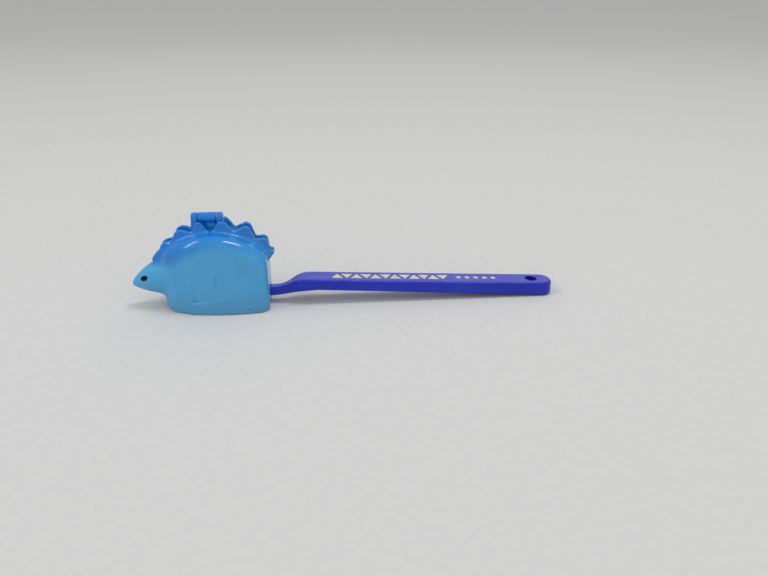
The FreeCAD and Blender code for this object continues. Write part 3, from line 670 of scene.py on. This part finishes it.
# %% One filament, one tuft
FILAMENTS = 40
FILAMENT_RADIUS = 0.1 * MM
FILAMENT_ROOT = 1.1 * MM
TIP_HEIGHT = FILAMENT_RADIUS * 0.7
TIP_SHARE = 0.55
FACES_UP = 0.9
TUFT_DEPTH = 3.0 * MM
TUFT_RADIUS = 0.8 * MM
TUFT_FLARE = 1.22
TUFT_SHADING = math.radians(60)
GOLDEN_ANGLE = math.radians(137.508)
LENGTH_SPREAD = 0.02
draw = random.Random(28)


def one_filament(length):
    """A rod from just below the face of the head to its rounded tip, standing at the origin."""
    bpy.ops.mesh.primitive_cylinder_add(
        vertices=6,
        radius=FILAMENT_RADIUS,
        depth=length + FILAMENT_ROOT,
        location=(0, 0, (length - FILAMENT_ROOT) / 2),
    )
    filament = settle(bpy.context.active_object, "filament")
    bpy.ops.object.mode_set(mode="EDIT")
    bpy.ops.mesh.select_all(action="DESELECT")
    bpy.ops.object.mode_set(mode="OBJECT")
    for face in filament.data.polygons:
        face.select = face.normal.z > FACES_UP
    bpy.ops.object.mode_set(mode="EDIT")
    bpy.ops.mesh.extrude_region_move(TRANSFORM_OT_translate={"value": (0, 0, TIP_HEIGHT)})
    bpy.ops.transform.resize(value=(TIP_SHARE, TIP_SHARE, 1))
    bpy.ops.object.mode_set(mode="OBJECT")
    return filament


def one_tuft(length):
    """Forty filaments that lean outwards from the hole."""
    filament = one_filament(length - TIP_HEIGHT)
    strands = []
    for index in range(FILAMENTS):
        away = (TUFT_RADIUS - FILAMENT_RADIUS) * math.sqrt((index + 0.5) / FILAMENTS)
        turn = index * GOLDEN_ANGLE
        foot = Vector((math.cos(turn), math.sin(turn), 0)) * away
        lean = foot * (TUFT_FLARE - 1) / length
        shear = Matrix.Identity(4)
        shear[0][2] = lean.x
        shear[1][2] = lean.y
        shear[2][2] = 1 - LENGTH_SPREAD * draw.random()
        strand = filament.copy()
        strand.data = filament.data.copy()
        strand.data.transform(Matrix.Translation(foot) @ shear)
        bpy.context.scene.collection.objects.link(strand)
        strands.append(strand)
    bpy.data.objects.remove(filament)
    select_only(*strands)
    bpy.ops.object.join()
    tuft = settle(bpy.context.active_object, "tuft")
    bpy.ops.object.shade_smooth_by_angle(angle=TUFT_SHADING)
    return tuft


tuft_nodes = sorted(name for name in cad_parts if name.startswith("tuft_") and name[-1].isdigit())
tuft_low, tuft_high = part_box(tuft_nodes[0])
tuft_model = one_tuft(tuft_high.z - tuft_low.z - TUFT_DEPTH)
print("one tuft has", len(tuft_model.data.polygons), "faces")

# %% Twenty-eight tufts
for number, node in enumerate(tuft_nodes):
    low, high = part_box(node)
    bundle = tuft_model.copy()
    bundle.data = tuft_model.data.copy()
    bundle.name = node.replace("tuft", "bristles")
    bundle.data.name = bundle.name
    bundle.data.transform(Matrix.Rotation(number * GOLDEN_ANGLE, 4, "Z"))
    spot = Vector(((low.x + high.x) / 2, (low.y + high.y) / 2, low.z + TUFT_DEPTH))
    bundle.data.transform(Matrix.Translation(spot))
    bpy.context.scene.collection.objects.link(bundle)
    dress(bundle, bristle_nylon)
    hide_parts(node)
    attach(bundle, "brush_and_fixed_half")
bpy.data.objects.remove(tuft_model)
print(len(tuft_nodes), "tufts of", FILAMENTS, "filaments")

# %% [markdown]
# ## Handle, anchors and foil
# These CAD nodes already have the right shape, so they stay, and only get their finishes.

# %% Dress the CAD nodes that stay
for node, material in (
    ("brush_handle", handle_plastic),
    ("tuft_anchors", anchor_brass),
    ("handle_foil", gold_foil),
):
    dress(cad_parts[node], material)
    print(node, "wears", material.name)

# %% [markdown]
# ## Floor
# The floor is a wide pale sheet of paper. It could curve up into a backdrop; here it only runs on,
# far behind the object, until the surround takes over in the same grey.

# %% Paper floor
FLOOR_SIZE = 12.0
PAPER_GRAIN_MM = 3.0


def backdrop_paper():
    # Uncoated paper: matt, with a faint fibre mottle.
    colours = ("#c2c2c2", "#c6c6c5")
    finish = {"Specular IOR Level": 0.1}
    return patterned("backdrop_paper", PAPER_GRAIN_MM, EVEN, colours, (0.85, 0.95), finish)


def paper_floor():
    bpy.ops.mesh.primitive_grid_add(x_subdivisions=8, y_subdivisions=8, size=FLOOR_SIZE)
    floor = settle(bpy.context.active_object, "paper_floor")
    dress(floor, backdrop_paper())
    floor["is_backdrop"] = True
    print("floor is", FLOOR_SIZE, "m wide")


paper_floor()

# %% [markdown]
# ## Light
# The light is that of a bright room: a surround that is brighter in front, two long soft lamps
# above, which the glossy back mirrors as pale bars, and a slim one low behind, which the top of the
# handle mirrors. The surround would show above the far edge of the paper, so what the camera sees
# of it, straight on or mirrored in a glossy surface, has the paper's own grey.

# %% Surround and lamps
SURROUND = 0.6
SURROUND_FRONT = 1.06
SURROUND_SEEN = "#c4c4c2"
FRONT_RANGE = (-1.0, 0.3)
WHITE = (1.0, 1.0, 1.0, 1.0)
COVER_BACK = Vector((-50, -8, 29)) * MM
LAMP_DISTANCE = 1.1


def room():
    """A surround that lights the object, more from the front; it is seen in the paper's grey."""
    world = bpy.data.worlds.new("room")
    world.use_nodes = True
    tree = world.node_tree
    light = tree.nodes["Background"]
    towards = add_node(tree, "ShaderNodeTexCoord").outputs["Generated"]
    depth = add_node(tree, "ShaderNodeSeparateXYZ", {0: towards}).outputs["Y"]
    strength = map_range(tree, depth, FRONT_RANGE, (SURROUND_FRONT, SURROUND))
    set_inputs(tree, light, {"Color": WHITE, "Strength": strength})
    seen = add_node(tree, "ShaderNodeBackground", {"Color": linear(SURROUND_SEEN), "Strength": 1.0})
    path = add_node(tree, "ShaderNodeLightPath").outputs
    mirrored = calculate(tree, "MAXIMUM", path["Is Camera Ray"], path["Is Glossy Ray"])
    shown = calculate(tree, "MAXIMUM", mirrored, path["Is Transmission Ray"])
    backgrounds = {0: shown, 1: light.outputs[0], 2: seen.outputs[0]}
    mixed = add_node(tree, "ShaderNodeMixShader", backgrounds)
    tree.links.new(mixed.outputs[0], tree.nodes["World Output"].inputs["Surface"])
    bpy.context.scene.world = world


def soft_lamp(name, aim, along, length, width, power):
    """A long soft lamp in the direction aim from the cover, its length laid along a direction."""
    back = Vector(aim).normalized()
    side = Vector(along) - back * back.dot(Vector(along))
    side.normalize()
    up = back.cross(side)
    bpy.ops.object.light_add(type="AREA", location=COVER_BACK + back * LAMP_DISTANCE)
    lamp = bpy.context.active_object
    lamp.name = name
    lamp.rotation_euler = Matrix((side, up, back)).transposed().to_euler()
    lamp.data.shape = "RECTANGLE"
    lamp.data.size = length
    lamp.data.size_y = width
    lamp.data.energy = power


room()
soft_lamp("left_lamp", (-0.69, -0.22, 0.69), (0.30, 0.49, 0.29), 0.85, 0.14, 2.5)
soft_lamp("right_lamp", (0.29, -0.03, 0.95), (0.33, 0.10, -0.10), 0.46, 0.2, 3.9)
soft_lamp("back_lamp", (0.08, 0.92, 0.38), (1.0, 0.0, 0.0), 1.0, 0.06, 0.22)

# %% [markdown]
# ## Camera
# The camera stands in front of the brush, a little above it, and looks down by about 24 degrees.

# %% Camera
EYE_POINT = Vector((-8.1, -264.4, 122.2)) * MM
LOOK = Vector((0.0796, 0.9101, -0.4067))
LENS_MM = 33.4
SENSOR_MM = 36.0
NEAREST_SEEN = 10.0 * MM
bpy.ops.object.camera_add(location=EYE_POINT, rotation=LOOK.to_track_quat("-Z", "Y").to_euler())
camera = bpy.context.active_object
camera.data.lens = LENS_MM
camera.data.sensor_width = SENSOR_MM
camera.data.clip_start = NEAREST_SEEN
bpy.context.scene.camera = camera
bpy.context.scene.view_settings.view_transform = "Standard"
print("camera at", [round(value / MM) for value in camera.location])

# %% [markdown]
# ## Measure and finish
# The box around the dressed object is printed, in millimetres.

# %% Print the dressed object's box
low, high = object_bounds()
print("visual box in mm:", [round(value / MM, 1) for value in high - low])
